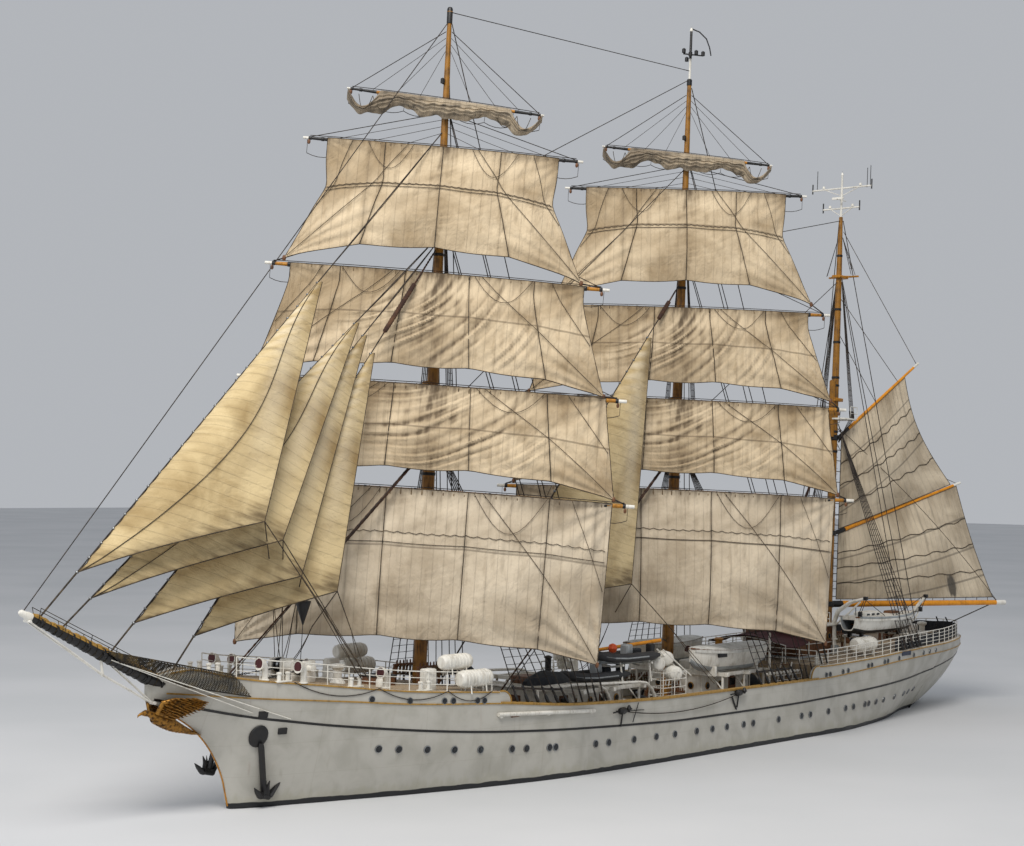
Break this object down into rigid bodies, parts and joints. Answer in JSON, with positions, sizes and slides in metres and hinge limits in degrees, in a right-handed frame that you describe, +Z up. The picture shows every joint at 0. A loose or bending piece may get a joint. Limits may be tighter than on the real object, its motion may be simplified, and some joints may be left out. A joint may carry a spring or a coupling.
{
  "type": "three-masted barque, 1:10 scale model",
  "caption": "Steel sailing barque under sail, with braced yards, spanker gear, rudder and propeller that turn, as a 1:10 model afloat.",
  "frame": {"origin": "amidships on the centreline, at the waterline", "axes": "+X to the bow, +Y to port, +Z up"},
  "size_m": [8.9269, 1.7695, 5.3808],
  "materials": {
    "white_paint": "semi-gloss, weathered",
    "spar_paint": "satin",
    "black_paint": "satin",
    "gilding": "satin gold",
    "canvas": "woven, dirty",
    "rigging_wire": "tarred",
    "bronze": "dull",
    "boat_rubber": "matt"
  },
  "bodies": {
    "ship": {"hull": "white_paint", "forecastle": "white_paint", "poop": "white_paint", "bulwark_port": "white_paint", "bulwark_starboard": "white_paint", "bowsprit": "black_paint", "martingale": "white_paint", "figurehead": "gilding", "anchor_port": "black_paint", "anchor_starboard": "black_paint", "windlass": "white_paint", "fore_house": "white_paint", "main_house": "white_paint", "cutter_port": "white_paint", "cutter_starboard": "white_paint", "work_boat": "boat_rubber", "launch_port": "white_paint", "launch_starboard": "white_paint", "fore_mast": "spar_paint", "main_mast": "spar_paint", "mizzen_mast": "spar_paint", "fore_shrouds_port": "rigging_wire", "fore_shrouds_starboard": "rigging_wire", "main_shrouds_port": "rigging_wire", "main_shrouds_starboard": "rigging_wire", "mizzen_shrouds_port": "rigging_wire", "mizzen_shrouds_starboard": "rigging_wire", "fore_stay": "rigging_wire", "main_stay": "rigging_wire", "mizzen_stay": "rigging_wire", "flying_jib": "canvas", "outer_jib": "canvas", "inner_jib": "canvas", "fore_topmast_staysail": "canvas", "main_topmast_staysail": "canvas"},
    "fore_yards": {"fore_course_yard": "spar_paint", "fore_lower_topsail_yard": "spar_paint", "fore_upper_topsail_yard": "spar_paint", "fore_topgallant_yard": "spar_paint", "fore_royal_yard": "spar_paint", "fore_course": "canvas", "fore_lower_topsail": "canvas", "fore_upper_topsail": "canvas", "fore_topgallant": "canvas"},
    "main_yards": {"main_course_yard": "spar_paint", "main_lower_topsail_yard": "spar_paint", "main_upper_topsail_yard": "spar_paint", "main_topgallant_yard": "spar_paint", "main_royal_yard": "spar_paint", "main_course": "canvas", "main_lower_topsail": "canvas", "main_upper_topsail": "canvas", "main_topgallant": "canvas"},
    "spanker_gear": {"spanker_boom": "spar_paint", "lower_gaff": "spar_paint", "upper_gaff": "spar_paint", "lower_spanker": "canvas", "upper_spanker": "canvas"},
    "rudder": {"rudder": "black_paint"},
    "propeller": {"propeller": "bronze"}
  },
  "joints": [
    {"name": "fore_brace", "type": "hinge", "parent": "ship", "child": "fore_yards", "pos_m": [2.115, 0, 0], "axis": [-0.0436, 0, 0.999], "range_deg": [-86, 0]},
    {"name": "main_brace", "type": "hinge", "parent": "ship", "child": "main_yards", "pos_m": [-0.279, 0, 0], "axis": [-0.0436, 0, 0.999], "range_deg": [-86, 0]},
    {"name": "spanker_swing", "type": "hinge", "parent": "ship", "child": "spanker_gear", "pos_m": [-2.271, 0, 0], "axis": [-0.0436, 0, 0.999], "range_deg": [-11, 51]},
    {"name": "rudder_turn", "type": "hinge", "parent": "ship", "child": "rudder", "pos_m": [-3.355, 0, 0], "axis": [0, 0, 1], "range_deg": [-35, 35]},
    {"name": "propeller_spin", "type": "hinge", "parent": "ship", "child": "propeller", "pos_m": [-3.225, 0, -0.26], "axis": [1, 0, 0], "continuous": true}
  ]
}
